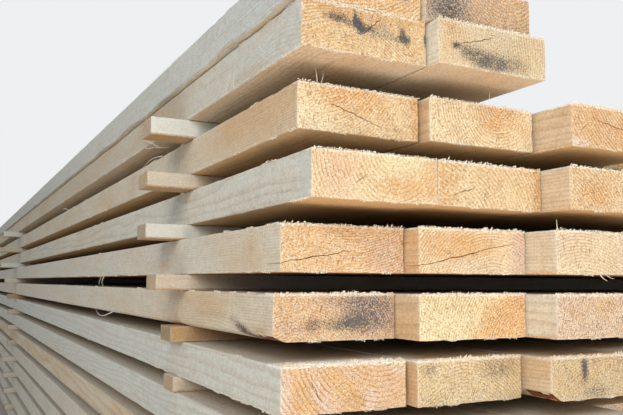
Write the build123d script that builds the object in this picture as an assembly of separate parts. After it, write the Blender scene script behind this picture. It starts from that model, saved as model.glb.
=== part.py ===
from build123d import *
import os

# A stack of rough-sawn planks, laid in layers with thin laths between them so that air can pass.
# +Z is up, the boards run along Y, and the end that faces the viewer is at -Y.
# Layers are counted from the top, boards in a layer from the left (-X). All sizes are in millimetres.

# Boards
board_length = 6000.0
board_width = 150.0
board_thickness = 50.0
board_count = 7
layer_count = 14
side_gap = 2.0
length_spread = 30.0
end_skew = 2.5

# The last boards laid on top: two short layers, one straight on the other
top_layers = 2
top_board_count = 2

# Laths between the layers, and the heavy bearers that keep the lowest boards off the ground
lath_width = 50.0
lath_thickness = 22.0
top_lath_thickness = 26.0
lath_spare_length = 138.0
lath_lines = ("near_end", "middle", "far_end")
line_inset = 440.0
lath_wander = 15.0
bearer_width = 100.0
bearer_height = 100.0
bearer_overhang = 15.0

# How far each layer stands out to the left, from the top down
layer_shift = (22.0, 15.0, 5.0, 0.0, 14.0, 14.0, 10.0, 12.0, 10.0, 9.0, 3.0, 1.0, 6.0, 8.0)

# How far the first boards of the upper layers stand back from the foremost end; the others wander
end_stagger = 105.0
near_setback = (
    (40.0, 34.0),
    (40.0, 20.0),
    (69.0, 56.0, 0.0),
    (45.0, 45.0, 3.0),
    (86.0, 60.0, 14.0),
    (104.0, 61.0, 15.0),
    (90.0, 79.0, 40.0),
)

# Layers that were laid with wider gaps between their boards
loose_gap = {3: 6.0, 7: 7.0}

# How far the upper laths stand out to the left of the nominal face, from the top down: near line, middle line
lath_reach = ((68.0, 77.0), (68.0, 100.0), (64.0, 82.0), (59.0, 62.0), (30.0, 48.0), (18.0, 40.0))
lath_reach_below = 45.0

# How far the upper laths of the near line lie off that line, from the top down; the others wander
near_lath_shift = (-11.0, 1.0, 17.0, -26.0, -2.0, 20.0)

# Wane, the rounded bark edge that the saw missed: layer, board, and the edge that it runs along
wane_width = 16.0
wane_depth = 10.0
wane_run = 1400.0
waney_edges = {
    (6, 1): "lower left",
    (7, 3): "lower left",
    (3, 5): "upper right",
    (5, 7): "lower right",
    (9, 4): "upper left",
    (9, 1): "lower left",
    (11, 2): "upper right",
    (12, 6): "lower left",
}

# Drying splits in the near ends: layer, board, and where the split starts and stops,
# each as a share of the board's width and thickness from its lower left corner
split_width = 1.2
split_depth = 60.0
near_splits = {
    (2, 1): (0.46, 0.42, 0.63, 0.90),
    (2, 2): (0.14, 0.45, 0.50, 0.76),
    (3, 1): (0.25, 0.62, 0.66, 0.24),
    (3, 3): (0.22, 0.72, 0.62, 0.45),
    (4, 2): (0.14, 0.26, 0.33, 0.44),
    (5, 1): (0.00, 0.18, 0.55, 0.46),
    (5, 2): (0.00, 0.14, 0.88, 0.72),
    (7, 1): (0.22, 0.68, 0.31, 0.24),
    (8, 2): (0.30, 0.50, 0.80, 0.66),
    (9, 3): (0.10, 0.74, 0.50, 0.40),
    (11, 1): (0.35, 0.30, 0.90, 0.44),
}
cut_margin = 2.0

layer_width = board_count * board_width + (board_count - 1) * side_gap
stack_length = board_length + end_stagger
lath_length = layer_width + lath_spare_length


def uneven(row, place):
    """A steady value from -1 to 1 that differs from piece to piece."""
    return 2.0 * ((row * 0.6180 + place * 0.7549) % 1.0) - 1.0


def lath_thickness_above(layer):
    """The thickness of the laths that lie on a layer, or 0 where boards lie straight on it."""
    if layer <= top_layers:
        return 0.0
    return top_lath_thickness if layer == top_layers + 1 else lath_thickness


def layer_bottom(layer):
    """The height of a layer's underside: the bearers, and all the layers and laths below it."""
    below = range(layer + 1, layer_count + 1)
    return bearer_height + sum(board_thickness + lath_thickness_above(lower) for lower in below)


def gap_beside(layer):
    """The gap between neighbouring boards of a layer."""
    return loose_gap.get(layer, side_gap)


def boards_in(layer):
    """How many boards a layer holds."""
    return top_board_count if layer <= top_layers else board_count


def left_edge(layer, board):
    """Where a board's left face lies, measured from the nominal left face of the stack."""
    shift = layer_shift[(layer - 1) % len(layer_shift)]
    return (board - 1) * (board_width + gap_beside(layer)) - shift


def setback(layer, board):
    """How far a board's near end stands back from the foremost end."""
    if layer <= len(near_setback) and board <= len(near_setback[layer - 1]):
        return near_setback[layer - 1][board - 1]
    return end_stagger * (0.5 + 0.5 * uneven(layer, board))


def line_middle(line):
    """Where the middle of a line of laths lies along the boards."""
    spacing = (stack_length - 2 * line_inset) / (len(lath_lines) - 1)
    return line_inset + line * spacing


def lath_reach_left(layer, line):
    """How far the lath on a layer stands out to the left."""
    from_top = layer - top_layers - 1
    if from_top < len(lath_reach) and line < len(lath_reach[0]):
        return lath_reach[from_top][line]
    return lath_reach_below + lath_wander * uneven(line, layer)


def lath_shift(layer, line):
    """How far a lath lies off its line, along the boards."""
    from_top = layer - top_layers - 1
    if line == 0 and from_top < len(near_lath_shift):
        return near_lath_shift[from_top]
    return lath_wander * uneven(layer, line)


def wane_section(edge, left, bottom, size):
    """The corner that is missing at one end of a waney edge, as three points of the section."""
    at_left, at_bottom = "left" in edge, "lower" in edge
    corner_x = left if at_left else left + board_width
    corner_z = bottom if at_bottom else bottom + board_thickness
    inward_x = 1.0 if at_left else -1.0
    inward_z = 1.0 if at_bottom else -1.0
    return (
        (corner_x - inward_x * cut_margin, corner_z - inward_z * cut_margin),
        (corner_x + inward_x * wane_width * size, corner_z - inward_z * cut_margin),
        (corner_x - inward_x * cut_margin, corner_z + inward_z * wane_depth * size),
    )


def wane(edge, left, bottom, near):
    """The piece that the round of the log leaves out of a board's edge, tapering to nothing."""
    stations = ((near - cut_margin, 1.0), (near + wane_run, 0.0))
    sections = []
    for y, size in stations:
        points = [(x, y, z) for x, z in wane_section(edge, left, bottom, size)]
        sections.append(make_face(Polyline(*points, close=True)))
    return loft(sections, ruled=True)


def split(share, left, bottom, near):
    """A wedge-shaped drying split, widest at the end face and closed at its full depth."""
    start = Vector(left + share[0] * board_width, 0, bottom + share[1] * board_thickness)
    stop = Vector(left + share[2] * board_width, 0, bottom + share[3] * board_thickness)
    along = (stop - start).normalized()
    across = Vector(-along.Z, 0, along.X) * (split_width / 2)
    mouth = Vector(0, near - cut_margin, 0)
    tip = Vector(0, near + split_depth, 0)
    profile = make_face(Polyline(start + across + mouth, start - across + mouth, start + tip, close=True))
    return extrude(profile, amount=(stop - start).length, dir=along)


def board(layer, place):
    """One plank: its plan, with slightly skewed ends, raised to its thickness, then its flaws."""
    left = left_edge(layer, place)
    right = left + board_width
    near = setback(layer, place)
    far = near + board_length - length_spread * (0.5 + 0.5 * uneven(place, layer))
    skew = end_skew * uneven(layer + place, place) / 2
    bottom = layer_bottom(layer)
    corners = (
        (left, near + skew, bottom),
        (right, near - skew, bottom),
        (right, far + skew, bottom),
        (left, far - skew, bottom),
    )
    plank = extrude(make_face(Polyline(*corners, close=True)), amount=board_thickness, dir=(0, 0, 1))
    if (layer, place) in waney_edges:
        plank -= wane(waney_edges[layer, place], left, bottom, near)
    if (layer, place) in near_splits:
        plank -= split(near_splits[layer, place], left, bottom, near)
    return plank.solid()


def lath(layer, line):
    """One lath lying on a layer, across the boards."""
    left = -lath_reach_left(layer, line)
    near = line_middle(line) - lath_width / 2 + lath_shift(layer, line)
    bottom = layer_bottom(layer) + board_thickness
    thickness = lath_thickness_above(layer)
    return Pos(left, near, bottom) * Solid.make_box(lath_length, lath_width, thickness)


def bearer(line):
    """One heavy timber under the lowest layer, in line with the laths above it."""
    left = -bearer_overhang - layer_shift[(layer_count - 1) % len(layer_shift)]
    near = line_middle(line) - bearer_width / 2
    return Pos(left, near, 0) * Solid.make_box(layer_width + 2 * bearer_overhang, bearer_width, bearer_height)


def make_nodes():
    """Every named node with the solids in it, as (name, solids)."""
    nodes = []
    for layer in range(1, layer_count + 1):
        planks = [board(layer, place) for place in range(1, boards_in(layer) + 1)]
        nodes.append((f"boards_layer_{layer:02d}", planks))
    for line, name in enumerate(lath_lines):
        laths = [lath(layer, line) for layer in range(top_layers + 1, layer_count + 1)]
        nodes.append((f"laths_{name}", laths))
        nodes.append((f"bearer_{name}", [bearer(line)]))
    return nodes


def main():
    """Centre the stack over its footprint and write one STEP file for each node."""
    nodes = make_nodes()
    box = Compound(children=[solid for _, solids in nodes for solid in solids]).bounding_box()
    to_origin = Pos(-(box.min.X + box.max.X) / 2, -(box.min.Y + box.max.Y) / 2, 0)
    os.makedirs("parts", exist_ok=True)
    for name, solids in nodes:
        node = Compound(children=[to_origin * solid for solid in solids])
        export_step(node, f"parts/{name}.step")


main()
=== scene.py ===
import math

import bmesh
import bpy
import numpy as np
from mathutils import Matrix, Vector, noise


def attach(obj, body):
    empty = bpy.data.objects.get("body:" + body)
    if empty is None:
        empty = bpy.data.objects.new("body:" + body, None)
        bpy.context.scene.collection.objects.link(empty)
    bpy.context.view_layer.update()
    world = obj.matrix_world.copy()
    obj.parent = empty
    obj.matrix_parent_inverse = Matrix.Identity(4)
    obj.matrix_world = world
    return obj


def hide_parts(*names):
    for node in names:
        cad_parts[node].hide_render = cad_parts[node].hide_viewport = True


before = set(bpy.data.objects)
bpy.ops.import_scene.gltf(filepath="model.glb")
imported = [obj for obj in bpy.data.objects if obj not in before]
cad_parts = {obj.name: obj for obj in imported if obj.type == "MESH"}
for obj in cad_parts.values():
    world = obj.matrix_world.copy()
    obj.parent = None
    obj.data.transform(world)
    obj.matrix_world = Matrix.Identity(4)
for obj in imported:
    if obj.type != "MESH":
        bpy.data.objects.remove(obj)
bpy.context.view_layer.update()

# A stack of rough-sawn spruce planks. Each layer is one piece that stands for its CAD node, remade with
# sawn, frayed, stained and split surfaces, and so are the laths and the bearers. Their colours also hold
# some painted light: a warm bounce on undersides, shadows behind the laths and a highlight along the top
# edges of the near ends. Torn fibres and lifted splinters come last. Lengths are in metres, and planks are
# counted as in the CAD: layers from the top, places from the left.
MM = 0.001
LAYERS, LATH_LINES, BEARERS = (sorted(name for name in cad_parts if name.startswith(kind))
                               for kind in ("boards_layer_", "laths_", "bearer_"))

# Planks near the camera get a fine mesh. Steps in mm: across, up, and along the timber as the first, how
# fast they grow and the largest. Rims are the lines nearest to an edge.
FINE_LAYERS = 7
FINE_PLACES = 3
MESH_STEPS = {
    "fine first plank": (3.2, 3.2, 3, 1.055, 130), "fine plank": (3.2, 3.2, 4, 1.2, 350),
    "first plank": (12, 9, 10, 1.05, 150), "plank": (12, 9, 12, 1.4, 450),
    "upper lath": (5, 5, 6, 1.25, 60), "lath": (12, 12, 14, 1.3, 120),
}
RIM, COARSE_RIM = (0.0, 1.2 * MM, 3.5 * MM), (0.0, 2.5 * MM)
FAR_ZONE, LAST_LINES = 45 * MM, (32, 12, 3.5, 1.2, 0)

# Points this close to a face count as on it, and a worn arris fades out over this length
SKIN, ARRIS = 2 * MM, 1.5 * MM

# How deep the long faces and the sawn ends are worn in mm, by middling, broad and small unevenness
FACE_WEAR, END_WEAR = (0.25, 0.25, 0.12), (0.55, 0.35, 0.4)

# The near ends: the heart of the log as shares of width and thickness from the lower left corner, with the
# mean ring width in mm; how warm, pink and stained the face is; and its patches, with their place as shares,
# half sizes in mm, and the change in warmth, pinkness and stain, 0 where left out
ENDS = {
    (1, 1): ((0.4, 2.2, 3.4), (0.7, 0.3, 0), ((0.85, 0.55, 9, 10, -0.3, 0, 0.9),)),
    (1, 2): ((0.75, 1.4, 3.8), (0.48, 1, 0.24), ((0.18, 0.5, 32, 40, -0.4, -0.3, 0.5),
     (0.8, 0.4, 50, 40, 0.2, 0.2))),
    (2, 1): ((0.35, -1.3, 3), (0.55, 0.1, 0.14), ((0.5, 1, 75, 16, 0.7, 0.1, 0.05),
     (0.41, 0.8, 2, 8, 0, 0, 0.7), (0.43, 0.66, 5, 8, 0, 0, 0.7), (0.46, 0.54, 4, 6, 0, 0, 0.6),
     (0.38, 0.64, 12, 5, 0, 0, 0.4), (0.5, 0.58, 10, 4, 0, 0, 0.35),
     (0.6, 0.56, 20, 9, -0.1, 0, 0.35), (0.79, 0.62, 4, 7, 0, 0, 0.7), (0.83, 0.5, 5, 6, 0, 0, 0.7),
     (0.77, 0.48, 10, 4, 0, 0, 0.45), (0.24, 0.7, 12, 4, 0, 0, 0.5), (0.3, 0.74, 10, 8, 0, 0, 0.25),
     (1, 0.6, 3, 6, 0, 0, 2), (0.72, 0.2, 3, 12, -0.7))),
    (2, 2): ((-0.15, 0.45, 3.6), (0.2, 0.2, 0.18), ((0.15, 0.44, 6, 3, 0, 0, 0.9),
     (0.24, 0.34, 9, 9, 0, 0, 0.5), (0.36, 0.24, 14, 13, 0, 0, 0.5), (0.5, 0.18, 16, 14, 0, 0, 0.5),
     (0.64, 0.2, 14, 12, 0, 0, 0.35), (0.76, 0.26, 12, 10, 0, 0, 0.25), (0.12, 0.8, 12, 30, 0.3),
     (0.55, 0.7, 50, 16, -0.4, 0.1, 0.08))),
    (3, 1): ((0.1, 1.95, 3.2), (0.5, 0.2, 0), ((0.42, 0.8, 40, 13, 0.5, 0.2), (0.15, 0.3, 30, 18, -0.4),
     (1, 0.5, 9, 40, 0.8, 0.1, 0.15))),
    (3, 2): ((0.66, 0.98, 3.7), (0.15, 0.2, 0), ((0.66, 0.75, 32, 26, 0.75, 0.3),
     (0.05, 0.5, 20, 40, -0.3))),
    (3, 3): ((1.05, 2.3, 4.2), (0.8, 0.8, 0), ((0.08, 0.05, 15, 8, -1.2),)),
    (4, 1): ((0.64, 1.05, 4.4), (0.3, 0.2, 0), ((0.2, 0.6, 20, 25, 0.2, 0.9),
     (0.64, 0.95, 34, 16, -0.35, -0.2), (0.75, 0.3, 38, 12, 0.6, 0.1), (1, 0.6, 16, 25, 0.5, 0.1))),
    (4, 2): ((-0.25, -1.4, 4.6), (0.42, 0.2, 0), ((0.05, 0.5, 12, 40, 0.4, 0.1),
     (0.98, 0.5, 9, 40, 0.8, 0.3, 0.12))),
    (4, 3): ((-0.35, -1.2, 4.2), (0.5, 0.3, 0), ((0.25, 0.4, 18, 12, 0.5, 0.1),)),
    (5, 1): ((0.5, 3.6, 2.8), (0.62, 0.4, 0.1), ((0.85, 0.4, 32, 25, -0.2, 0.7, 0.16),
     (0.5, 0.9, 55, 7, 0.3))),
    (5, 2): ((0.68, -0.9, 3.4), (0.35, 0.3, 0.05), ((0.35, 0.6, 45, 13, 0.75),
     (0.6, 0.12, 50, 9, -0.3, 0.1, 0.12), (0.93, 0.5, 13, 30, -0.2, 0.9, 0.18))),
    (5, 3): ((0.3, -2, 3.6), (-0.5, 0.4, 0), ((0.1, 0.7, 14, 12, 0.3, 0.2),)),
    (6, 1): ((0.2, -0.95, 3), (0.58, 0.7, 0.24), ((0.3, 0.34, 8, 8, 0, 0, 0.34),
     (0.5, 0.34, 30, 6, 0, 0, 0.3), (0.68, 0.4, 26, 10, 0, 0, 0.22),
     (0.8, 0.6, 44, 26, -0.3, 0.4, 0.4), (0.6, 0.84, 40, 8, 0, 0.2, 0.14),
     (0.14, 0.3, 16, 8, -0.2, 0.2, 0.1))),
    (6, 2): ((0.96, -0.15, 3.5), (0, 0, 0), ((0.94, -0.1, 66, 60, 1.5),)),
    (6, 3): ((1.2, -0.8, 3.2), (0.25, 0.8, 0.24), ((0.5, 0.7, 20, 12, 0.4),)),
    (7, 1): ((0.78, 1.6, 5.2), (0.55, 1, 0.18), ((0.95, 0.92, 16, 8, -1.6, -0.5, 0.05),
     (0.7, 0.25, 7, 9, -1.2), (0.03, 0.4, 6, 22, -0.9), (0.14, 0.45, 9, 14, 0.6),
     (0.2, 0.15, 11, 9, 0.6), (0.27, 0.5, 3, 12, -1.3), (0.34, 0.18, 5, 9, -1.3),
     (0.4, 0.76, 11, 7, 0.6, 0.1), (0.49, 0.5, 12, 8, 0.6, 0.1), (0.57, 0.24, 13, 8, 0.6, 0.1, 0.1))),
    (7, 2): ((0.4, -1.1, 3.6), (0.25, 0, 0.26), ((0.75, 0.75, 30, 12, 0.1, 0, 0.25),
     (0.1, 0.8, 10, 8, 0.2, 0, 0.2))),
    (7, 3): ((0.6, -1.2, 3.4), (0.35, 0, 0.34), ((0.35, 0.7, 5, 14, 0, 0, 0.7),
     (0.45, 0.15, 22, 8, -0.4, 0.3, 0.2))),
}

# Left faces of the first planks, at 100, 300 and 1200 mm from the near end: warmth and coolness
LEFT_STATIONS = (100 * MM, 300 * MM, 1200 * MM)
LEFT_TONES = {
    1: ((0, 0.95), (0.05, 0.8), (0.1, 0.7)), 2: ((0.1, 0.75), (0.25, 0.5), (0.5, 0.15)),
    3: ((0.9, 0), (0.42, 0.2), (0.42, 0.2)), 4: ((0.2, 0.6), (0.25, 0.5), (0.35, 0.4)),
    5: ((0.55, 0.2), (0.3, 0.4), (0.3, 0.4)), 6: ((0.5, 0.2), (0.6, 0.15), (0.3, 0.3)),
    7: ((0.2, 0.6), (0.15, 0.6), (0.15, 0.7)), 8: ((0.1, 0.6), (0.1, 0.6), (0.1, 0.6)),
    9: ((0.8, 0.1), (0.7, 0.1), (0.6, 0.1)),
}

# Marks on left faces: mm from the end, height share, half sizes in mm, and the change in warmth and stain.
# The full-height bands at 850 and 860 mm are painted shadows behind the laths.
LEFT_MARKS = {
    (2, 1): ((140, 0.1, 60, 10, 0.3, 0.12), (500, 0.5, 140, 60, 0.3, 0.18), (1500, 0.5, 1000, 90, 0, 0.2)),
    (3, 1): ((700, 0.5, 40, 30, 0.2, 0.1),),
    (4, 1): ((14, 0.5, 16, 40, -0.3, 0.08), (850, 0.5, 12, 60, 0.2, 0.15)),
    (5, 1): ((78, 0.52, 4, 5, 0, 0.3), (420, 0.3, 40, 8, 0.2, 0.12), (850, 0.5, 14, 60, 0.2, 0.18)),
    (6, 1): ((114, 0.38, 8, 4, 0.1, 0.5), (99, 0.29, 10, 5, 0.1, 0.7), (84, 0.2, 12, 6, 0.1, 0.8),
     (69, 0.12, 12, 6, 0.1, 0.8), (54, 0.06, 12, 5, 0.1, 0.7), (30, 0.22, 20, 4, 0.2, 0.3),
     (190, 0.45, 60, 4, 0.1, 0.15), (860, 0.5, 12, 60, 0.1, 0.18)),
    (7, 1): ((480, 0.6, 12, 20, 0, 0.2), (330, 0.8, 10, 4, 0, 0.4)),
    (8, 1): ((560, 0.5, 8, 25, 0, 0.35), (500, 0.3, 14, 8, 0, 0.5)),
}

# Knots on left faces: mm from the end, height share, how far they push the rings, and half sizes in mm
KNOTS = {
    (2, 1): ((70, 0.75, 26, 75, 34),), (5, 1): ((78, 0.52, 22, 24, 26),), (6, 1): ((200, 0.5, 22, 70, 20),),
}

# Side faces of the next planks, where they show: warmth and coolness
SIDE_TONES = {
    (2, 2): (0.1, 0.3), (3, 2): (0.85, 0), (3, 3): (0.75, 0.1), (4, 3): (0.6, 0), (5, 2): (0.8, 0),
    (5, 3): (0.4, 0), (6, 2): (0.8, 0), (6, 3): (0.35, 0.2), (7, 2): (0.9, 0), (7, 3): (0.8, 0),
}

# Wane, the rounded bark edge that the saw missed, where the CAD has it, and how much flatter it is drawn on
# one plank. Bark covers the first stretch of it, with only scraps further back.
WANE_WIDTH, WANE_DEPTH, WANE_RUN = 16 * MM, 10 * MM, 1400 * MM
FLAT_WANE = {(6, 1): 0.65}
BARK_STRETCH = 50 * MM
WANEY_EDGES = {
    (6, 1): "lower left", (7, 3): "lower left", (3, 5): "upper right", (5, 7): "lower right",
    (9, 4): "upper left", (9, 1): "lower left", (11, 2): "upper right", (12, 6): "lower left",
}

# Drying splits where the CAD has them, a little narrower and shallower: start and stop as shares
SPLIT_WIDTH, SPLIT_DEPTH = 1.0 * MM, 55 * MM
SPLITS = {
    (2, 1): (0.46, 0.42, 0.63, 0.9), (2, 2): (0.14, 0.45, 0.5, 0.76), (3, 1): (0.25, 0.62, 0.66, 0.24),
    (3, 3): (0.22, 0.72, 0.62, 0.45), (4, 2): (0.14, 0.26, 0.33, 0.44), (5, 1): (0, 0.18, 0.55, 0.46),
    (5, 2): (0, 0.14, 0.88, 0.72), (7, 1): (0.22, 0.68, 0.31, 0.24), (8, 2): (0.3, 0.5, 0.8, 0.66),
    (9, 3): (0.1, 0.74, 0.5, 0.4), (11, 1): (0.35, 0.3, 0.9, 0.44),
}

# The plank that lies tight against its right neighbour, and by how much it is wider for that
TIGHT_PLANK, TIGHT_REACH = (4, 1), 1.6 * MM

# The plank whose lower left edge wanders up and down, and by how much
WAVY_EDGE, WAVY_RISE = (1, 1), 6 * MM

# Top edges of near ends left thick with fuzz, where the others have 1. The number also widens the
# near-white band drawn along those edges, which is partly fray and partly a painted highlight.
FUZZY_AND_HIGHLIGHTED_TOPS = {
    (3, 3): 4, (5, 2): 2, (6, 1): 2, (6, 2): 2, (6, 3): 2, (7, 1): 4, (7, 2): 2, (7, 3): 2,
}

# Laths on the upper full layers, from the top down: warmth, coolness and how dark the sawn-off end is
LATH_TONES = (
    (0.05, 0.7, 0.2), (0.45, 0.1, 0.25), (0.05, 0.55, 0.4), (0.35, 0.2, 0.3), (1, 0, 0.5),
)

# Long splinters: layer, place, edge, where on it (a share across the end, or mm along the plank), the
# points it passes in mm, and its thickness in mm
SPLINTERS = (
    (3, 2, "end top", 0.55, ((0, 0, 0), (1, -1, 8), (0, -3, 15)), 0.9),
    (5, 3, "end top", 0.01, ((0, 0, 0), (-1, 0, 6), (-2, -1, 11)), 1.1),
    (3, 1, "end top", 0.15, ((0, 0, 0), (-1, -1, 7), (-3, -2, 14)), 0.7),
    (3, 1, "end top", 0.18, ((0, 0, 0), (2, -1, 6), (1, -3, 10)), 0.6),
    (6, 1, "end top", 0.63, ((0, 0, 0), (4, -2, 3), (7, -2, 2)), 1),
    (6, 1, "end top", 0.67, ((0, 0, 0), (-4, -2, 3), (-7, -2, 4)), 0.8),
    (5, 3, "end low", 0.45, ((0, 0, 0), (3, -2, -5), (8, -3, -7)), 1),
    (5, 3, "end low", 0.52, ((0, 0, 0), (4, -2, -4), (9, -3, -4)), 0.8),
    (2, 1, "left low", 165, ((0, 0, 0), (-5, -10, -3), (-8, -26, -2)), 0.9),
    (2, 1, "left low", 180, ((0, 0, 1), (-4, -6, 7), (-6, -14, 16)), 0.9),
    (2, 1, "left low", 195, ((0, 0, 0), (-5, -14, 2), (-7, -34, 5)), 1),
    (2, 1, "left low", 205, ((0, 0, 2), (-5, -10, 8), (-7, -30, 15)), 1),
    (2, 1, "left low", 215, ((0, 0, 0), (-4, -8, 3), (-6, -22, 9)), 0.9),
    (2, 1, "left low", 620,
     ((0, 0, 15), (-6, -50, 5), (-9, -110, -12), (-8, -150, -25), (-5, -180, -27)), 1.5),
    (2, 1, "left low", 600, ((0, 0, 0), (-6, -30, -10), (-9, -80, -14), (-7, -120, -22)), 1.3),
    (3, 1, "left top", 500, ((0, 0, 0), (-5, 30, 3), (-8, 70, -1), (-6, 120, -8)), 1.4),
    (3, 1, "left top", 540, ((0, 0, 0), (-6, 20, -4), (-9, 50, -13)), 1.2),
    (5, 1, "left low", 880, ((0, 0, 0), (-3, 4, -8), (-4, 2, -16), (-2, -6, -21)), 1.5),
    (5, 1, "left low", 910, ((0, 0, 0), (-3, -4, -6), (-5, -2, -15), (-3, 4, -20)), 1.3),
    (6, 1, "left low", 780, ((6, 0, 3), (-6, 20, -6), (-9, 60, -9), (-6, 120, -4), (-2, 160, 6)), 1.8),
    (3, 1, "left top", 1500, ((0, 0, 0), (-4, 20, 6), (-6, 60, 8), (-5, 90, 4)), 2),
    (7, 1, "left top", 420, ((0, 0, 0), (-3, 8, 4), (-4, 20, 3)), 1),
)

# Torn fibres, and how far inside an edge they are rooted
FIBRES = {
    "Spacing": 0.8 * MM, "Fibre Length": 3.2 * MM, "Fibre Thickness": 0.6 * MM, "Spread": 0.55, "Seed": 7,
}
FIBRE_ROOT = 0.7 * MM

# Lamps: place, target, size, watts, colour and spread in degrees
LAMPS = {
    "left_key": ((-3, -5.7, 2.3), (-0.55, -2.4, 0.6), 2.4, 37, (1, 0.97, 0.91), 110),
    "front_fill": ((0.9, -6.3, 3.6), (0.1, -3, 0.6), 2.6, 56, (1, 0.97, 0.91), 180),
    "floor_bounce": ((-0.7, -4, 0.03), (-0.7, -4, 1), 1.7, 14.5, (1, 0.87, 0.76), 180),
    "back_fill": ((6, 6.5, 4.5), (0.3, 0.5, 0.6), 4, 260, (1, 0.98, 0.95), 180),
}
FLOOR_HALF = 60.0

# The camera: where it stands, which way it looks, and its lens
CAMERA_PLACE = (-0.8523, -3.6069, 0.7378)
CAMERA_TURN, CAMERA_RISE, CAMERA_ROLL = 27.31, 6.055, 0.325
PHOTO_WIDTH, FOCAL_PIXELS, SENSOR = 623, 705.75, 36.0
SMOOTH = {"interpolation_type": "SMOOTHSTEP"}


def steady(*keys):
    """A repeatable value from 0 to 1 for a set of numbers."""
    total = sum((index + 1) * 12.9898 * key for index, key in enumerate(keys))
    return (math.sin(total + 4.1414) * 43758.5453) % 1.0


def srgb(code):
    """A hex colour as linear red, green, blue and alpha."""
    channels = [int(code[i:i + 2], 16) / 255 for i in (0, 2, 4)]
    linear = [c / 12.92 if c <= 0.04045 else ((c + 0.055) / 1.055) ** 2.4 for c in channels]
    return (*linear, 1.0)


def add(tree, kind, inputs=(), output=0, **settings):
    """One node with its settings. Inputs go in order, or by name in a dict: a socket is linked, any other
    value is set. It gives back one output, or the node itself."""
    node = tree.nodes.new(kind)
    for name, value in settings.items():
        setattr(node, name, value)
    shown = [socket for socket in node.inputs if socket.enabled]
    for key, value in inputs.items() if isinstance(inputs, dict) else enumerate(inputs):
        socket = node.inputs[key] if isinstance(key, str) else shown[key]
        if isinstance(value, bpy.types.NodeSocket):
            tree.links.new(value, socket)
        else:
            socket.default_value = value
    if output == "node":
        return node
    if isinstance(output, str):
        return node.outputs[output]
    return [socket for socket in node.outputs if socket.enabled][output]


def new_object(name, data):
    """An object for some data, in the scene."""
    made = bpy.data.objects.new(name, data)
    bpy.context.scene.collection.objects.link(made)
    return made


def new_material(name, roughness):
    """A material with its node tree and its shader."""
    material = bpy.data.materials.new(name)
    material.use_nodes = True
    shader = material.node_tree.nodes["Principled BSDF"]
    shader.inputs["Roughness"].default_value = roughness
    return material, material.node_tree, shader


def wood_base(name, roughness):
    """A wood material, with what the meshes say about each point: its place in the log, and how warm, how
    tinted, how stained and how frayed it is. Warmth also holds a painted warm bounce on undersides, stain
    holds painted shadows behind the laths, and fray holds a painted highlight along the top edges."""
    material, tree, shader = new_material(name, roughness)
    shader.inputs["IOR"].default_value = 1.5
    shader.inputs["Specular IOR Level"].default_value = 0.25
    log = add(tree, "ShaderNodeAttribute", attribute_name="log", output="Vector")
    tint = add(tree, "ShaderNodeAttribute", attribute_name="tint", output="node").outputs
    split = add(tree, "ShaderNodeSeparateColor", (tint["Color"],), output="node").outputs
    return material, tree, shader, log, (split[0], split[1], split[2], tint["Alpha"])


def pattern(tree, place, size, stretch=(1, 1, 1), detail=2.0, roughness=0.6, low=0, high=1, top=1.0):
    """Noise whose lumps are about a given size in metres, stretched. Where low and high are given, what lies
    between them is spread from 0 to top."""
    place = add(tree, "ShaderNodeVectorMath", (place, stretch), operation="MULTIPLY")
    settings = {"Vector": place, "Scale": 1 / size, "Detail": detail, "Roughness": roughness}
    lumps = add(tree, "ShaderNodeTexNoise", settings)
    if (low, high) == (0, 1):
        return lumps
    return add(tree, "ShaderNodeMapRange", (lumps, low, high, 0.0, top), **SMOOTH)


def overlay(tree, colour, layers):
    """Colours laid over one another, each by its own amount: one value, two to be multiplied, or one with
    the range it is read by."""
    for amount, code in layers:
        if isinstance(amount, tuple) and len(amount) == 2:
            amount = add(tree, "ShaderNodeMath", amount, operation="MULTIPLY")
        elif isinstance(amount, tuple):
            amount = add(tree, "ShaderNodeMapRange", amount)
        over = code if isinstance(code, bpy.types.NodeSocket) else srgb(code)
        colour = add(tree, "ShaderNodeMix", (amount, colour, over), data_type="RGBA")
    return colour


def dressed(material, shader, colour, height=None, depth=0.0):
    """A material with its colour and, where a height is given, with a relief of that depth."""
    tree = material.node_tree
    tree.links.new(colour, shader.inputs["Base Color"])
    if height is not None:
        normal = add(tree, "ShaderNodeBump", {"Height": height, "Strength": 1.0, "Distance": depth})
        tree.links.new(normal, shader.inputs["Normal"])
    return material


def pushed(tree, value, lumps, strength):
    """A value pushed up and down by a 0 to 1 pattern, so that its edge follows the grain."""
    swing = add(tree, "ShaderNodeMath", (lumps, 0.5), operation="SUBTRACT")
    return add(tree, "ShaderNodeMath", (swing, strength, value), operation="MULTIPLY_ADD")


def growth_rings(tree, log, waviness):
    """Rings about the heart of the log, from 0 in pale spring wood to 1 in the dark summer line."""
    flat = add(tree, "ShaderNodeVectorMath", (log, (1, 0, 1)), operation="MULTIPLY")
    radius = add(tree, "ShaderNodeVectorMath", (flat,), operation="LENGTH", output="Value")
    slow = pattern(tree, log, 55 * MM, (1, 0.12, 1))
    quick = pattern(tree, log, 8 * MM, (1, 0.2, 1))
    bent = pushed(tree, pushed(tree, radius, slow, 9 * MM * waviness), quick, 0.9 * MM * waviness)
    per_metre = add(tree, "ShaderNodeAttribute", attribute_name="rings_per_metre", output="Fac")
    turns = add(tree, "ShaderNodeMath", (bent, per_metre), operation="MULTIPLY")
    phase = add(tree, "ShaderNodeMath", (turns,), operation="FRACT")
    ramp = add(tree, "ShaderNodeValToRGB", (phase,), output="node")
    stops = ((0, 0), (0.5, 0.1), (0.78, 0.7), (0.92, 1), (1, 0.1))
    elements = ramp.color_ramp.elements
    for place, level in stops[1:-1]:
        elements.new(place)
    for element, (place, level) in zip(elements, stops):
        element.position, element.color = place, (level, level, level, 1)
    return ramp.outputs[0], radius


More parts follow.
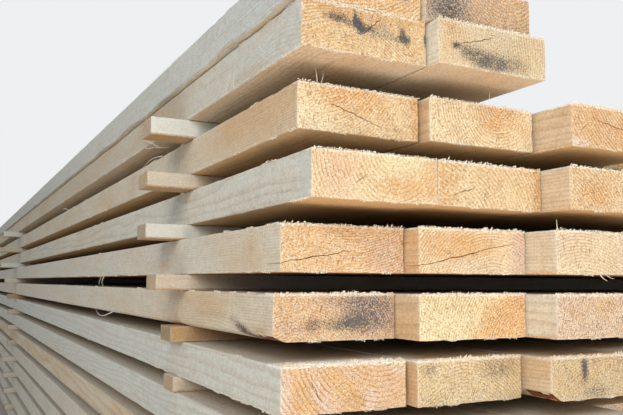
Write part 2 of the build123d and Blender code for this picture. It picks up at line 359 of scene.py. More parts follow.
def drying_checks(tree, log, radius):
    """Hairline cracks that run out from the heart along the rays."""
    parts = add(tree, "ShaderNodeSeparateXYZ", (log,), output="node").outputs
    angle = add(tree, "ShaderNodeMath", (parts[2], parts[0]), operation="ARCTAN2")
    around = add(tree, "ShaderNodeMath", (angle, 14.0), operation="MULTIPLY")
    outward = add(tree, "ShaderNodeMath", (radius, 8.0), operation="MULTIPLY")
    polar = add(tree, "ShaderNodeCombineXYZ", (around, outward, parts[1]))
    ray = add(tree, "ShaderNodeTexNoise", {"Vector": polar, "Scale": 1.3, "Detail": 1.0})
    off = add(tree, "ShaderNodeMath", (ray, 0.5), operation="SUBTRACT")
    off = add(tree, "ShaderNodeMath", (off,), operation="ABSOLUTE")
    line = add(tree, "ShaderNodeMapRange", (off, 0.001, 0.009, 1.0, 0.0), **SMOOTH)
    here = pattern(tree, log, 24 * MM, low=0.50, high=0.60)
    return add(tree, "ShaderNodeMath", (line, here), operation="MULTIPLY")


def end_grain(name, dull):
    """Sawn end grain of spruce: pale spring wood and orange summer rings, cut across their fibres, with
    fine torn ends drawn as pale specks and painted glints, and it drinks in blue-black mould."""
    material, tree, shader, log, (warmth_and_bounce, pink, stain_and_shade, fray_and_highlight) = wood_base(name, 0.9)
    rings, radius = growth_rings(tree, log, 1.0)
    patches = pattern(tree, log, 26 * MM, detail=3)
    pores = pattern(tree, log, 1.5 * MM, roughness=0.7, low=0.3, high=0.5)
    fluff = pattern(tree, log, 2.2 * MM, (1, 1, 1.4), detail=3, roughness=0.7)
    flecks = pattern(tree, log, 5 * MM, (1.3, 1, 0.8), detail=4, roughness=0.8, low=0.52, high=0.68,
                     top=0.5)
    spots = pattern(tree, log, 1.3 * MM, detail=3, roughness=0.7)
    warmth = add(tree, "ShaderNodeMapRange", (pushed(tree, warmth_and_bounce, patches, 0.7), 0, 1, 0, 1), **SMOOTH)
    spring = overlay(tree, srgb("F4E4B8"), ((pink, "F0D7C2"), (warmth, "EBC28A")))
    summer = overlay(tree, srgb("CFA066"), ((pink, "C88F68"), (warmth, "BE7A42")))
    strength = pattern(tree, log, 40 * MM, detail=1, low=0.36, high=0.64, top=0.6)
    strength = add(tree, "ShaderNodeMath", (strength, 0.36), operation="ADD")
    # Pale specks of torn fibre ends, lifted to near white as painted glints where they would catch the light
    torn_ends_and_glints = add(tree, "ShaderNodeMapRange", (fluff, 0.52, 0.66, 0, 0.85), **SMOOTH)
    checks = drying_checks(tree, log, radius)
    speckled = pushed(tree, pushed(tree, stain_and_shade, fluff, 2), spots, 2.4)
    mould = add(tree, "ShaderNodeMapRange", (speckled, 0.36, 0.86, 0, 0.92), **SMOOTH)
    mould_tone = overlay(tree, srgb("2F3140"), ((patches, "636B6C"),))
    torn = add(tree, "ShaderNodeMapRange", (fluff, 0.35, 0.6, 0, 1), **SMOOTH)
    colour = overlay(tree, spring, (
        ((rings, strength), summer), ((stain_and_shade, 0.5), "8A7B6C"), (flecks, "B98756"),
        ((pores, 0, 1, 0.75, 0), "A87544"), (torn_ends_and_glints, "FFF6E2"), ((checks, 0.75), "8A5A34"),
        # Near-white fray, which also carries the painted highlight along the top edges of the near ends
        (mould, mould_tone), ((fray_and_highlight, torn), "FFFCF2"), (dull, "8F8778")))
    height = add(tree, "ShaderNodeMath", (pores, fluff), operation="ADD")
    return dressed(material, shader, colour, height, 0.6 * MM)


def sawn_face(name, pale, cool, warm_code, dull, marked=1.0):
    """A rough-sawn long face: dry fibres that have greyed a little, faint rings cut lengthwise, scratches
    straight across from the saw, and a fuzz that scatters the light. Marked says how strong they are."""
    material, tree, shader, log, (warmth_and_bounce, cold, stain_and_shade, fray_and_highlight) = wood_base(name, 0.85)
    rings, _ = growth_rings(tree, log, 1.6)
    broad = pattern(tree, log, 60 * MM, (1, 0.25, 1), detail=3)
    fuzz = pattern(tree, log, 2.2 * MM, (1, 0.8, 1), detail=3, roughness=0.7)
    scratch = pattern(tree, log, 4 * MM, (0.16, 1, 0.16), detail=3)
    strand = pattern(tree, log, 4.5 * MM, (1, 0.06, 1), detail=3)
    mottle = pattern(tree, log, 9 * MM, (1, 0.6, 1), detail=4, roughness=0.85, low=0.46, high=0.6,
                     top=0.2 * marked)
    warmth = add(tree, "ShaderNodeMapRange", (pushed(tree, warmth_and_bounce, broad, 0.8), 0.05, 1, 0, 1), **SMOOTH)
    ringed = add(tree, "ShaderNodeMapRange", (warmth, 0, 0.6, 0.28 * marked, 0.48 * marked))
    mould = add(tree, "ShaderNodeMapRange", (pushed(tree, stain_and_shade, fuzz, 2.4), 0.45, 0.95, 0, 0.85), **SMOOTH)
    torn = add(tree, "ShaderNodeMapRange", (fuzz, 0.35, 0.6, 0, 1), **SMOOTH)
    colour = overlay(tree, srgb(pale), (
        (cold, cool), (warmth, warm_code), ((rings, ringed), "B39468"),
        ((strand, 0.3, 0.52, 0.15 * marked, 0), "9C8260"),
        ((scratch, 0.34, 0.56, 0.07 * marked, 0), "8E7F68"), (mottle, "A8988A"),
        ((fuzz, 0.3, 0.48, 0.36 * marked, 0), "8F7D66"),
        # The stain channel also holds the painted shadows behind the laths, drawn here as soft grey
        ((fuzz, 0.56, 0.74, 0, 0.45), "FDFAF0"), ((stain_and_shade, 0.7), "857B6E"), (mould, "4A4038"),
        # Near-white fray, which also carries the painted highlight along the top edges of the near ends
        ((fray_and_highlight, torn), "FFFDF6"), (dull, "8F8778")))
    height = add(tree, "ShaderNodeMath", (scratch, 1.2, fuzz), operation="MULTIPLY_ADD")
    return dressed(material, shader, colour, height, 0.4 * MM)


def inner_bark():
    """Thin inner bark left on a waney edge: dark red-brown, scaly and dull."""
    material, tree, shader, log, _ = wood_base("inner_bark_spruce", 0.95)
    scales = pattern(tree, log, 6 * MM, (1, 0.3, 1), detail=3, low=0.35, high=0.65)
    colour = overlay(tree, srgb("3A2620"), ((scales, "8E5238"),))
    return dressed(material, shader, colour, scales, 1.5 * MM)


def split_wood():
    """Wood inside a drying split: clean and warm at its mouth, dark where no light reaches."""
    material, tree, shader, log, _ = wood_base("split_wood_spruce", 0.9)
    strand = pattern(tree, log, 2 * MM, (1, 0.05, 1), low=0.35, high=0.65)
    return dressed(material, shader, overlay(tree, srgb("B0794A"), ((strand, "C9935F"),)))


def torn_fibre():
    """Torn wood fibres: thin, pale and nearly white where they stand up into the light."""
    material, tree, shader = new_material("torn_fibres_spruce", 0.7)
    shade = pattern(tree, add(tree, "ShaderNodeTexCoord", output="Object"), 12 * MM, low=0.35, high=0.65)
    return dressed(material, shader, overlay(tree, srgb("F7E8CC"), ((shade, "FFFDF6"),)))


PLANK_WOOD = (sawn_face("rough_sawn_faces_spruce", "E8E1CE", "D6DEDE", "DDB07A", 0.0),
              end_grain("sawn_end_grain_spruce", 0.0), inner_bark(), split_wood())
LATH_WOOD = (sawn_face("rough_sawn_faces_lath", "DFDACD", "E1E8E6", "BC986E", 0.0, 0.45),
             end_grain("sawn_end_grain_lath", 0.25))
BEARER_WOOD = (sawn_face("weathered_faces_bearer", "B8A88E", "A8A59C", "A98A63", 0.15),
               end_grain("weathered_end_grain_bearer", 0.45))
FIBRE = torn_fibre()


class Timber:
    """One sawn length as its CAD solid has it: its box, which way it runs, and the skew of its ends."""

    def __init__(self, corners, along, layer, place):
        self.along, self.across, self.layer, self.place = along, 1 - along, layer, place
        self.low, self.high = corners.min(axis=0), corners.max(axis=0)
        first = corners[corners[:, self.across] < self.low[self.across] + MM]
        last = corners[corners[:, self.across] > self.high[self.across] - MM]
        self.near = (first[:, along].min(), last[:, along].min())
        self.far = (first[:, along].max(), last[:, along].max())
        self.width = self.high[self.across] - self.low[self.across]
        self.height = self.high[2] - self.low[2]
        self.length = min(self.far) - max(self.near)
        self.sizes = (self.width, self.length, self.height)
        self.key = (layer, place)
        self.fine = along == 1 and layer <= FINE_LAYERS and place <= FINE_PLACES

    def to_frame(self, u, v, w):
        """Points given across, along and up the timber, in the stack's frame."""
        share = u / self.width
        near = self.near[0] + (self.near[1] - self.near[0]) * share
        far = self.far[0] + (self.far[1] - self.far[0]) * share
        points = np.empty((len(u), 3))
        points[:, self.across] = self.low[self.across] + u
        points[:, self.along] = near + (far - near) * (v / self.length)
        points[:, 2] = self.low[2] + w
        return points

    def inside(self, u, v, w):
        """How far points lie inside the nearer face across, along and up the timber."""
        return [np.minimum(place, size - place) for place, size in zip((u, v, w), self.sizes)]


def solids_of(node):
    """The corner points of each separate solid in a CAD node, from left to right and from the top down."""
    shape = bmesh.new()
    shape.from_mesh(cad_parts[node].data)
    bmesh.ops.remove_doubles(shape, verts=shape.verts, dist=0.01 * MM)
    waiting, groups = set(shape.verts), []
    while waiting:
        rim, group = [waiting.pop()], []
        while rim:
            corner = rim.pop()
            group.append(corner.co[:])
            for edge in corner.link_edges:
                other = edge.other_vert(corner)
                if other in waiting:
                    waiting.remove(other)
                    rim.append(other)
        groups.append(np.array(group))
    shape.free()
    if node.startswith("laths"):
        return sorted(groups, key=lambda points: -points[:, 2].min())
    return sorted(groups, key=lambda points: points[:, 0].min())


def lines_across(width, step, rim):
    """Grid lines across a face, with a few close to each edge for the worn arris."""
    count = max(2, round((width - 2 * rim[-1]) / step) + 1)
    inner = np.linspace(rim[-1], width - rim[-1], count)
    return np.concatenate([rim[:-1], inner, [width - value for value in reversed(rim[:-1])]])


def lines_along(length, first, growth, largest):
    """Grid lines along a plank: close together at the near end and wider further back."""
    places, step = list(RIM), first
    while places[-1] < length - FAR_ZONE:
        places.append(places[-1] + step)
        step = min(step * growth, largest)
    while places[-1] > length - FAR_ZONE:
        places.pop()
    return np.array(places + [length - back * MM for back in LAST_LINES])


def lattice_shell(xs, ys, zs, mirrored):
    """The surface of a box as a grid: its points as grid numbers, and its faces, all outward."""
    index = -np.ones((len(xs), len(ys), len(zs)), int)
    shell = np.zeros(index.shape, bool)
    shell[[0, -1], :, :] = shell[:, [0, -1], :] = shell[:, :, [0, -1]] = True
    index[shell] = np.arange(shell.sum())
    sides = ((index[0], True), (index[-1], False), (index[:, 0], False), (index[:, -1], True),
             (index[:, :, 0], True), (index[:, :, -1], False))
    quads = []
    for grid, flip in sides:
        ring = [grid[:-1, :-1], grid[1:, :-1], grid[1:, 1:], grid[:-1, 1:]]
        if flip != mirrored:
            ring.reverse()
        quads.append(np.stack([part.ravel() for part in ring], axis=1))
    return np.argwhere(shell), np.concatenate(quads)


def lumps(points, size, seed):
    """Smooth noise from about -1 to 1 at each point."""
    shift = Vector((seed * 7.31, seed * 3.77, seed * 5.13))
    return np.array([noise.noise(Vector(point) / size + shift) for point in points])


def wear(timber, points, u, v, w):
    """Sinks the surface a little everywhere, and more at the arrises and where a chip is gone."""
    away = timber.inside(u, v, w)
    inward = [np.where(place < size / 2, 1.0, -1.0) for place, size in zip((u, v, w), timber.sizes)]
    seed = timber.layer * 10 + timber.place
    stretch = np.ones(3)
    stretch[timber.along] = 0.35
    uneven = [np.abs(lumps(place, size * MM, seed + shift)) for place, size, shift in
              ((points * stretch, 9, 0), (points * stretch, 50, 0.5), (points, 3.5, 0.7))]
    chips = np.clip(lumps(points, 10 * MM, seed + 0.3), 0, 1) ** 2
    for number, axis in enumerate((timber.across, timber.along, 2)):
        shares = END_WEAR if number == 1 else FACE_WEAR
        depth = 0.1 + shares[0] * uneven[0] + shares[1] * uneven[1] + shares[2] * uneven[2]
        others = [away[other] for other in range(3) if other != number]
        rim = np.exp(-np.minimum(*others) / ARRIS)
        sunk = (depth + rim * (0.3 + 3 * chips)) * MM
        points[:, axis] += np.where(away[number] < 0.01 * MM, inward[number] * sunk, 0.0)


def wane(timber, points, u, v, w):
    """Slopes the waney edge back to the round of the log, and says which points lie on it."""
    edge = WANEY_EDGES[timber.key]
    from_side = u if "left" in edge else timber.width - u
    from_level = w if "lower" in edge else timber.height - w
    size = np.clip(1 - v / WANE_RUN, 0.001, 1)
    wide, deep = WANE_WIDTH * size, WANE_DEPTH * size * FLAT_WANE.get(timber.key, 1)
    reach = from_side / wide + from_level / deep
    scale = 1 / (2 - np.minimum(reach, 1))
    new_side = np.where(reach < 1, wide + (from_side - wide) * scale, from_side)
    new_level = np.where(reach < 1, deep + (from_level - deep) * scale, from_level)
    points[:, 0] += (new_side - from_side) * (1 if "left" in edge else -1)
    points[:, 2] += (new_level - from_level) * (1 if "lower" in edge else -1)
    scraps = lumps(points * np.array([1, 0.3, 1]), 35 * MM, timber.layer) > 0.5
    ragged = 1.15 + 0.3 * lumps(points, 9 * MM, timber.layer + 0.5)
    return (reach < ragged) & (size > 0.25) & (scraps | (v < BARK_STRETCH))


def mesh_object(name, points, faces, numbers, materials):
    """A mesh object at the origin, with a material number for each face."""
    mesh = bpy.data.meshes.new(name)
    mesh.from_pydata([tuple(point) for point in points], [], [tuple(face) for face in faces])
    for material in materials:
        mesh.materials.append(material)
    mesh.polygons.foreach_set("material_index", np.array(numbers, np.int32))
    mesh.update()
    return new_object(name, mesh)


def cut_split(timber, points, faces, numbers):
    """Cuts a ragged drying split into the near end, as a wedge that closes further in."""
    share = SPLITS[timber.key]
    outside = 1.5 * MM if share[0] == 0 else 0.0
    start = np.array([share[0] * timber.width - outside, share[1] * timber.height])
    run = np.array([share[2] * timber.width, share[3] * timber.height]) - start
    side = np.array([-run[1], run[0]]) / np.linalg.norm(run)
    steps, corners, seed = 26, [], timber.layer * 3.1 + timber.place
    for number in range(steps + 1):
        t = number / steps
        slow, quick = noise.noise(Vector((t * 9, seed, 0))), noise.noise(Vector((t * 27, seed, 5)))
        middle = start + run * t + side * (1.6 * slow + 0.8 * quick) * MM
        half = (0.15 + 0.85 * math.sin(math.pi * (0.06 + 0.9 * t)) ** 0.6) * SPLIT_WIDTH / 2
        half *= 0.75 + 0.5 * steady(seed, number)
        deep = SPLIT_DEPTH * (0.55 + 0.45 * math.sin(math.pi * t))
        for offset, back in ((half, -4 * MM), (-half, -4 * MM), (0.0, deep)):
            u, w = middle + side * offset
            corners.append((timber.low[0] + u, max(timber.near) + back, timber.low[2] + w))
    walls = [(2, 1, 0), tuple(steps * 3 + k for k in (0, 1, 2))]
    for number in range(steps):
        a, b = number * 3, number * 3 + 3
        walls += [(a, a + 1, b + 1, b), (a + 1, a + 2, b + 2, b + 1), (a + 2, a, b, b + 2)]
    plank = mesh_object("plank_to_split", points, faces, numbers, PLANK_WOOD)
    wedge = mesh_object("split_wedge", corners, walls, [3] * len(walls), PLANK_WOOD)
    shape = bmesh.new()
    shape.from_mesh(wedge.data)
    bmesh.ops.recalc_face_normals(shape, faces=shape.faces)
    shape.to_mesh(wedge.data)
    shape.free()
    cut = plank.modifiers.new("split", "BOOLEAN")
    cut.operation, cut.solver, cut.object = "DIFFERENCE", "EXACT", wedge
    result = bpy.data.meshes.new_from_object(plank.evaluated_get(bpy.context.evaluated_depsgraph_get()))
    new_points = np.array([vertex.co[:] for vertex in result.vertices])
    new_faces = [tuple(face.vertices) for face in result.polygons]
    new_numbers = [face.material_index for face in result.polygons]
    for thing in (plank, wedge):
        bpy.data.objects.remove(thing)
    return new_points, new_faces, new_numbers


def make_timber(timber):
    """One sawn length as points and faces, with a material number for each face."""
    if timber.along == 1:
        kind = ("fine " if timber.fine else "") + ("first " if timber.place == 1 else "") + "plank"
    else:
        kind = "upper lath" if timber.layer <= FINE_LAYERS else "lath"
    across, up, first, growth, largest = MESH_STEPS[kind]
    rim = COARSE_RIM if kind in ("first plank", "plank") else RIM
    xs, zs = lines_across(timber.width, across * MM, rim), lines_across(timber.height, up * MM, rim)
    ys = lines_along(timber.length, first * MM, growth, largest * MM)
    cells, quads = lattice_shell(xs, ys, zs, timber.along == 0)
    u, v, w = xs[cells[:, 0]], ys[cells[:, 1]], zs[cells[:, 2]]
    points = timber.to_frame(u, v, w)
    wear(timber, points, u, v, w)
    if timber.key == TIGHT_PLANK:
        points[:, 0] += TIGHT_REACH * u / timber.width
    if timber.key == WAVY_EDGE:
        rise = WAVY_RISE * (0.5 + np.array([noise.noise(Vector((0, back / (130 * MM), 0))) for back in v]))
        points[:, 2] += rise * np.clip(1 - w / (20 * MM), 0, 1) * np.clip(1 - u / (25 * MM), 0, 1)
    ends = cells[quads, 1]
    numbers = ((ends == 0).all(axis=1) | (ends == len(ys) - 1).all(axis=1)).astype(int)
    if timber.key in WANEY_EDGES:
        bark = wane(timber, points, u, v, w)
        numbers = np.where((numbers == 0) & bark[quads].all(axis=1), 2, numbers)
    if timber.key in SPLITS:
        return cut_split(timber, points, quads, numbers)
    return points, quads, numbers


def patch(across, up, half_across, half_up):
    """A soft-edged patch, 1 in its middle and 0 well outside it, with its half sizes in mm."""
    return np.exp(-((across / (half_across * MM)) ** 2 + (up / (half_up * MM)) ** 2) ** 1.5)


def end_readings(timber, end):
    """The tones of one end face: its base values and its patches."""
    if end == 0 and timber.key in ENDS:
        return ENDS[timber.key][1:]
    pick = [steady(timber.layer, timber.place, end, number, timber.along) for number in range(12)]
    base = (0.2 + 0.5 * pick[0], 0.7 * pick[1], 0.12 * pick[2])
    patches = ((pick[3], pick[4], 35, 16, 0.8 * pick[5] - 0.3, 0.3, 0.0),
               (pick[6], pick[7], 22, 10, 0.0, 0.2, 0.9 * pick[8] - 0.25),
               (pick[9], pick[10], 14, 14, 0.5 - pick[11], 0.0, 0.0))
    return base, patches


def tones(timber, u, v, w):
    """How warm, how tinted, how stained and how frayed each point is, with painted light among them: a warm
    bounce on undersides, shadow bands behind the laths and a highlight along the top edges of the near ends.
    """
    layer, place = timber.key
    underside, top = w < SKIN, timber.height - w
    tint = np.zeros((len(u), 4))
    usual = (0.2 + 0.6 * steady(layer, place, 6), 0.6 * steady(layer, place, 7))
    tint[:, :2] = SIDE_TONES.get(timber.key, usual)
    tint[:, 0] *= 0.8
    # Undersides get full warmth as a painted warm bounce from below, a little less on the two top layers
    tint[underside, :2] = (0.6 if layer <= 2 else 1, 0)
    tint[top < SKIN, :2] = (0.1, 0.6)
    left = u < SKIN
    if timber.key in WANEY_EDGES:
        left |= (u < WANE_WIDTH) & (w < WANE_DEPTH)
    if place == 1:
        stations = LEFT_TONES.get(layer, ((0.3, 0.4),) * 3)
        for channel, share in enumerate((0.75, 1)):
            values = [station[channel] * share for station in stations]
            tint[left, channel] = np.interp(v[left], LEFT_STATIONS, values)
    # Left-face marks: real stains and the painted shadow bands behind the laths alike
    for back, high, half_back, half_high, warmer, stain_and_shade in LEFT_MARKS.get(timber.key, ()):
        strength = left * patch(v - back * MM, w - high * timber.height, half_back, half_high)
        tint[:, 0] += warmer * strength
        tint[:, 2] += stain_and_shade * strength
    away = [np.abs(gap) for gap in timber.inside(u, v, w)]
    inner = np.minimum(away[0], away[2]) > 2.2 * MM
    for end in (0, 1):
        back = np.abs(v - end * timber.length)
        at_end = np.where(inner, (back < 8 * MM) * 1.0, np.exp(-np.maximum(back - 0.6 * MM, 0) / MM))
        base, patches = end_readings(timber, end)
        values = [np.full(len(u), float(value)) for value in base]
        for across, up, half_across, half_up, *changes in patches:
            strength = patch(u - across * timber.width, w - up * timber.height, half_across, half_up)
            for channel, change in enumerate(changes):
                values[channel] += change * strength
        for channel, value in enumerate(values):
            tint[:, channel] = tint[:, channel] * (1 - at_end) + value * at_end
    tint[:, 3] = 0.35 * np.exp(-np.sort(np.stack(away), axis=0)[1] / ARRIS)
    if timber.along == 0:
        usual = (0.4, 0.4, 0.3)
        tint[:, 0], tint[:, 1], dark = LATH_TONES[layer - 3] if layer - 3 < len(LATH_TONES) else usual
        # Lath undersides also get full warmth as a painted warm bounce from below
        tint[underside, :2] = (1, 0)
        tint[np.minimum(v, timber.length - v) < SKIN, 2] = dark
        return tint
    if layer <= 2:
        tint[underside, 3] += 0.12
    fuzz_and_highlight = FUZZY_AND_HIGHLIGHTED_TOPS.get(timber.key, 1)
    # A near-white band along the top edge of each near end: torn fibres, brightened further as a painted
    # highlight where light from above catches the edge
    tint[(top < 2.6 * MM) & (v < (4 + 8 * fuzz_and_highlight) * MM), 3] = 0.8 + 0.1 * fuzz_and_highlight
    return tint


def describe(timber, points):
    """What the materials read at each point: its place in the log, the ring spacing and the tones."""
    share = (points[:, timber.across] - timber.low[timber.across]) / timber.width
    u = share * timber.width
    v = points[:, timber.along] - timber.near[0] - (timber.near[1] - timber.near[0]) * share
    w = points[:, 2] - timber.low[2]
    pick = [steady(timber.layer, timber.place, number, timber.along) for number in range(1, 6)]
    side = 1.0 if pick[1] > 0.5 else -1.0
    heart = (pick[0] * 1.6 - 0.3, 0.5 + side * (0.5 + 1.6 * pick[2]), 2.8 + 1.8 * pick[3])
    heart = ENDS[timber.key][0] if timber.key in ENDS else heart
    tilt = (pick[4] - 0.5) * 0.02
    log = np.stack([u - heart[0] * timber.width - tilt * v, v + 40 * steady(*timber.key),
                    w - heart[1] * timber.height + 0.5 * tilt * v], axis=1)
    tint = tones(timber, u, v, w)
    for back, high, push, half_back, half_high in KNOTS.get(timber.key, ()):
        bent = patch(v - back * MM, w - high * timber.height, half_back, half_high)
        bent *= np.exp(-u / (40 * MM))
        log[:, 0] += push * MM * bent
        tint[:, 0] += 0.08 * bent * (u < SKIN)
    return log, np.full(len(points), 1 / (heart[2] * MM)), tint


def make_piece(name, node, timbers, materials):
    """Several sawn lengths as one piece that stands for a CAD node."""
    parts, faces, numbers, start = [], [], [], 0
    for timber in timbers:
        points, some_faces, some_numbers = make_timber(timber)
        parts.append((points, *describe(timber, points)))
        faces += [tuple(corner + start for corner in face) for face in some_faces]
        numbers += list(some_numbers)
        start += len(points)
    points, log, rings, tint = (np.concatenate(part) for part in zip(*parts))
    piece = mesh_object(name, points, faces, numbers, materials)
    readings = (("FLOAT_VECTOR", "log", "vector", log), ("FLOAT_COLOR", "tint", "color", tint),
                ("FLOAT", "rings_per_metre", "value", rings))
    for kind, title, field, values in readings:
        attribute = piece.data.attributes.new(title, kind, "POINT")
        attribute.data.foreach_set(field, values.astype(np.float32).ravel())
    piece.data.polygons.foreach_set("use_smooth", np.array(numbers) == 0)
    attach(piece, "root")
    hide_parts(node)


def fibre_tree():
    """Geometry nodes that set bent and tapered torn fibres along guide lines."""
    tree = bpy.data.node_groups.new("torn_fibres", "GeometryNodeTree")
    tree.interface.new_socket("Guides", in_out="INPUT", socket_type="NodeSocketGeometry")
    sockets = {}
    for name in FIBRES:
        kind = "NodeSocketInt" if name == "Seed" else "NodeSocketFloat"
        sockets[name] = tree.interface.new_socket(name, in_out="INPUT", socket_type=kind).identifier
    tree.interface.new_socket("Fibres", in_out="OUTPUT", socket_type="NodeSocketGeometry")
    given = add(tree, "NodeGroupInput", output="node").outputs
    growth = add(tree, "GeometryNodeInputNamedAttribute", ("growth",), data_type="FLOAT_VECTOR")
    lines = add(tree, "GeometryNodeMeshToCurve", (given["Guides"],))
    spacing = {"Curve": lines, "Length": given["Spacing"]}
    spots = add(tree, "GeometryNodeCurveToPoints", spacing, mode="LENGTH")
    limits = {"Min": (-1, -1, -1), "Max": (1, 1, 1), "Seed": given["Seed"]}
    jitter = add(tree, "FunctionNodeRandomValue", limits, data_type="FLOAT_VECTOR")
    shift = add(tree, "ShaderNodeVectorMath", (jitter, given["Spacing"]), operation="SCALE")
    spots = add(tree, "GeometryNodeSetPosition", {"Geometry": spots, "Offset": shift})
    lean = add(tree, "ShaderNodeVectorMath", (jitter, given["Spread"]), operation="SCALE")
    unit = add(tree, "ShaderNodeVectorMath", (growth,), operation="NORMALIZE")
    aim = add(tree, "ShaderNodeVectorMath", (unit, lean), operation="ADD")
    turn = add(tree, "FunctionNodeAlignRotationToVector", {"Vector": aim}, axis="Z")
    chance = add(tree, "FunctionNodeRandomValue", (0.0, 1.0), data_type="FLOAT")
    uneven = add(tree, "ShaderNodeMath", (chance, 2.2), operation="POWER")
    reach = add(tree, "ShaderNodeVectorMath", (growth,), operation="LENGTH", output="Value")
    tall = add(tree, "ShaderNodeMath", (uneven, reach), operation="MULTIPLY")
    tall = add(tree, "ShaderNodeMath", (tall, given["Fibre Length"], 0.5 * MM), operation="MULTIPLY_ADD")
    thick = given["Fibre Thickness"]
    size = add(tree, "ShaderNodeCombineXYZ", (thick, thick, tall))
    bend = {"Resolution": 2, "Start": (0, 0, 0), "Middle": (0, 0, 0.6), "End": (2, 0, 1)}
    bow = add(tree, "GeometryNodeCurveQuadraticBezier", bend)
    along = add(tree, "GeometryNodeSplineParameter", output="Factor")
    thin = add(tree, "ShaderNodeMath", (1.0, along), operation="SUBTRACT")
    thin = add(tree, "ShaderNodeMath", (thin, 0.15), operation="MAXIMUM")
    bow = add(tree, "GeometryNodeSetCurveRadius", {"Curve": bow, "Radius": thin})
    ring = add(tree, "GeometryNodeCurvePrimitiveCircle", {"Resolution": 3, "Radius": 0.5})
    blade = add(tree, "GeometryNodeCurveToMesh", {"Curve": bow, "Profile Curve": ring, "Fill Caps": True})
    each = {"Points": spots, "Instance": blade, "Rotation": turn, "Scale": size}
    many = add(tree, "GeometryNodeInstanceOnPoints", each)
    real = add(tree, "GeometryNodeRealizeInstances", {"Geometry": many})
    done = add(tree, "GeometryNodeSetMaterial", {"Geometry": real, "Material": FIBRE})
    add(tree, "NodeGroupOutput", (done,), output="node")
    return tree, sockets


def fibre_guides(planks):
    """Lines where fibres have torn up: along the top edges of the near ends, and in tufts along their lower
    edges and the first planks' long edges. With them goes how the fibres grow."""
    points, growth, edges = [], [], []
    for plank in planks:
        if not plank.fine:
            continue
        top, wide, thick = plank.height, plank.width, FUZZY_AND_HIGHLIGHTED_TOPS.get(plank.key, 1)
        square_edge = plank.key not in WANEY_EDGES and plank.key != WAVY_EDGE
        lines, inside, high = [], FIBRE_ROOT, top - FIBRE_ROOT
        for row in range(thick):
            back = row * 2 * MM + inside
            lines.append(((inside, back, high), (wide - inside, back, high), (0, -0.2, 1), 0.6 + 0.1 * thick))
        for number in range(18 if plank.place == 1 else 4):
            pick = steady(*plank.key, number)
            if number < 4:
                u = WANE_WIDTH + pick * 0.8 * (wide - WANE_WIDTH)
                lines.append(((u, inside, inside), (u + 0.09 * wide, inside, inside), (0, -0.2, -1), 0.4))
            else:
                level, rise = (inside, -0.8) if number < 13 and square_edge else (high, 0.8)
                back = 1.6 * pick ** 2
                lines.append(((inside, back, level), (inside, back + 20 * MM, level), (-0.5, 0, rise), 0.4))
        for first, last, direction, amount in lines:
            base, steps = len(points), max(3, round((last[0] - first[0]) / (6 * MM)))
            for number in range(steps + 1):
                u, v, w = [a + (b - a) * number / steps for a, b in zip(first, last)]
                here = plank.to_frame(*(np.array([value]) for value in (u, v, w)))[0]
                bunch = 0.45 + 1.1 * max(0.0, noise.noise(Vector(here) / (14 * MM)) + 0.10)
                points.append(here)
                growth.append(np.array(direction) * amount * bunch)
            edges += [(base + number, base + number + 1) for number in range(steps)]
    return points, growth, edges


def plain_mesh(drawn, name):
    """An object's finished shape as a plain mesh piece on the stack's one body."""
    mesh = bpy.data.meshes.new_from_object(drawn.evaluated_get(bpy.context.evaluated_depsgraph_get()))
    bpy.data.objects.remove(drawn)
    mesh.materials.clear()
    mesh.materials.append(FIBRE)
    piece = new_object(name, mesh)
    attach(piece, "root")


def make_fibres(planks):
    """The torn fibres on sawn edges, grown by geometry nodes."""
    points, growth, edges = fibre_guides(planks)
    guides = bpy.data.meshes.new("fibre_guides")
    guides.from_pydata([tuple(point) for point in points], edges, [])
    values = guides.attributes.new("growth", "FLOAT_VECTOR", "POINT")
    values.data.foreach_set("vector", np.array(growth, np.float32).ravel())
    grown = new_object("fibre_guides", guides)
    tree, sockets = fibre_tree()
    modifier = grown.modifiers.new("fibres", "NODES")
    modifier.node_group = tree
    for name, value in FIBRES.items():
        modifier[sockets[name]] = value
    plain_mesh(grown, "torn_edge_fibres")


def make_splinters(planks):
    """Longer splinters lifted from an edge, each a tapered thread on its own path."""
    by_key = {plank.key: plank for plank in planks}
    curve = bpy.data.curves.new("splinters", "CURVE")
    curve.dimensions, curve.bevel_depth, curve.bevel_resolution, curve.resolution_u = "3D", 1.0, 1, 6
    curve.use_fill_caps = True
    for layer, place, edge, spot, path, thickness in SPLINTERS:
        plank = by_key[layer, place]
        w = plank.height if "top" in edge else 0.0
        u, v = (spot * plank.width, 0.0) if "end" in edge else (0.0, spot * MM)
        root = plank.to_frame(np.array([u]), np.array([v]), np.array([w]))[0]
        spline = curve.splines.new("NURBS")
        spline.points.add(len(path) - 1)
        for number, (point, offset) in enumerate(zip(spline.points, path)):
            point.co = (*(root + np.array(offset) * MM), 1)
            point.radius = thickness / 2 * MM * (1 - 0.75 * number / (len(path) - 1))
        spline.order_u, spline.use_endpoint_u = 3, True
    plain_mesh(new_object("splinters", curve), "lifted_splinters")


def make_floor():
    """A plain pale floor."""
    mesh = bpy.data.meshes.new("studio_floor")
    corners = [(x * FLOOR_HALF, y * FLOOR_HALF, 0) for x, y in ((-1, -1), (1, -1), (1, 1), (-1, 1))]
    mesh.from_pydata(corners, [], [(0, 1, 2, 3)])
    material, _, shader = new_material("pale_floor", 0.9)
    shader.inputs["Base Color"].default_value = srgb("DDD9D2")
    mesh.materials.append(material)
    floor = new_object("studio_floor", mesh)


def soft_light(name, place, target, size, watts, colour, spread):
    """A round soft lamp that faces a target, with its light kept within a spread in degrees."""
    lamp = bpy.data.lights.new(name, "AREA")
    lamp.shape, lamp.size, lamp.energy, lamp.color = "DISK", size, watts, colour
    lamp.spread = math.radians(spread)
    light = new_object(name, lamp)
    light.location = place
    light.rotation_euler = (Vector(target) - Vector(place)).to_track_quat("-Z", "Y").to_euler()


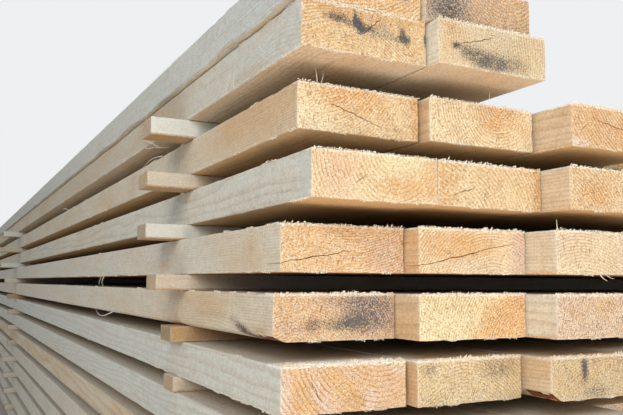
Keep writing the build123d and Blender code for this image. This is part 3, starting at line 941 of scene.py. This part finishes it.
def make_light():
    """Soft lamps from the left, front, floor and behind, and an even pale sky."""
    world = bpy.data.worlds.new("pale_studio")
    bpy.context.scene.world = world
    world.use_nodes = True
    tree = world.node_tree
    tree.nodes.clear()
    rays = add(tree, "ShaderNodeLightPath", output="node").outputs
    direct = rays["Is Camera Ray"]
    for other in ("Is Glossy Ray", "Is Transmission Ray"):
        direct = add(tree, "ShaderNodeMath", (direct, rays[other]), operation="MAXIMUM")
    seen = add(tree, "ShaderNodeBackground", {"Color": srgb("EEF0F1"), "Strength": 1.0})
    lit = add(tree, "ShaderNodeBackground", {"Color": srgb("E4ECF4"), "Strength": 0.42})
    shown = add(tree, "ShaderNodeMixShader", (direct, lit, seen))
    add(tree, "ShaderNodeOutputWorld", (shown,), output="node")
    for name, settings in LAMPS.items():
        soft_light(name, *settings)


def make_camera():
    """The camera at the photograph's viewing angle."""
    lens = bpy.data.cameras.new("camera")
    lens.sensor_fit, lens.sensor_width = "HORIZONTAL", SENSOR
    lens.lens = FOCAL_PIXELS / PHOTO_WIDTH * SENSOR
    lens.clip_start, lens.clip_end = 0.01, 100.0
    camera = new_object("camera", lens)
    stand = Matrix.Translation(CAMERA_PLACE)
    for degrees, axis in ((-CAMERA_TURN, "Z"), (90 + CAMERA_RISE, "X"), (CAMERA_ROLL, "Z")):
        stand = stand @ Matrix.Rotation(math.radians(degrees), 4, axis)
    camera.matrix_world = stand
    bpy.context.scene.camera = camera


all_planks = []
for node in LAYERS:
    layer = int(node[-2:])
    planks = [Timber(corners, 1, layer, place) for place, corners in enumerate(solids_of(node), start=1)]
    make_piece(node.replace("boards_layer", "sawn_planks"), node, planks, PLANK_WOOD)
    all_planks += planks
for line, node in enumerate(LATH_LINES):
    laths = [Timber(corners, 0, layer, 20 + line) for layer, corners in enumerate(solids_of(node), start=3)]
    make_piece(node.replace("laths", "sawn_laths"), node, laths, LATH_WOOD)
for line, node in enumerate(BEARERS):
    timbers = [Timber(corners, 0, 40, 30 + line) for corners in solids_of(node)]
    make_piece(node.replace("bearer", "ground_bearer"), node, timbers, BEARER_WOOD)
make_fibres(all_planks)
make_splinters(all_planks)
make_floor()
make_light()
make_camera()
bpy.context.scene.view_settings.view_transform = "Standard"
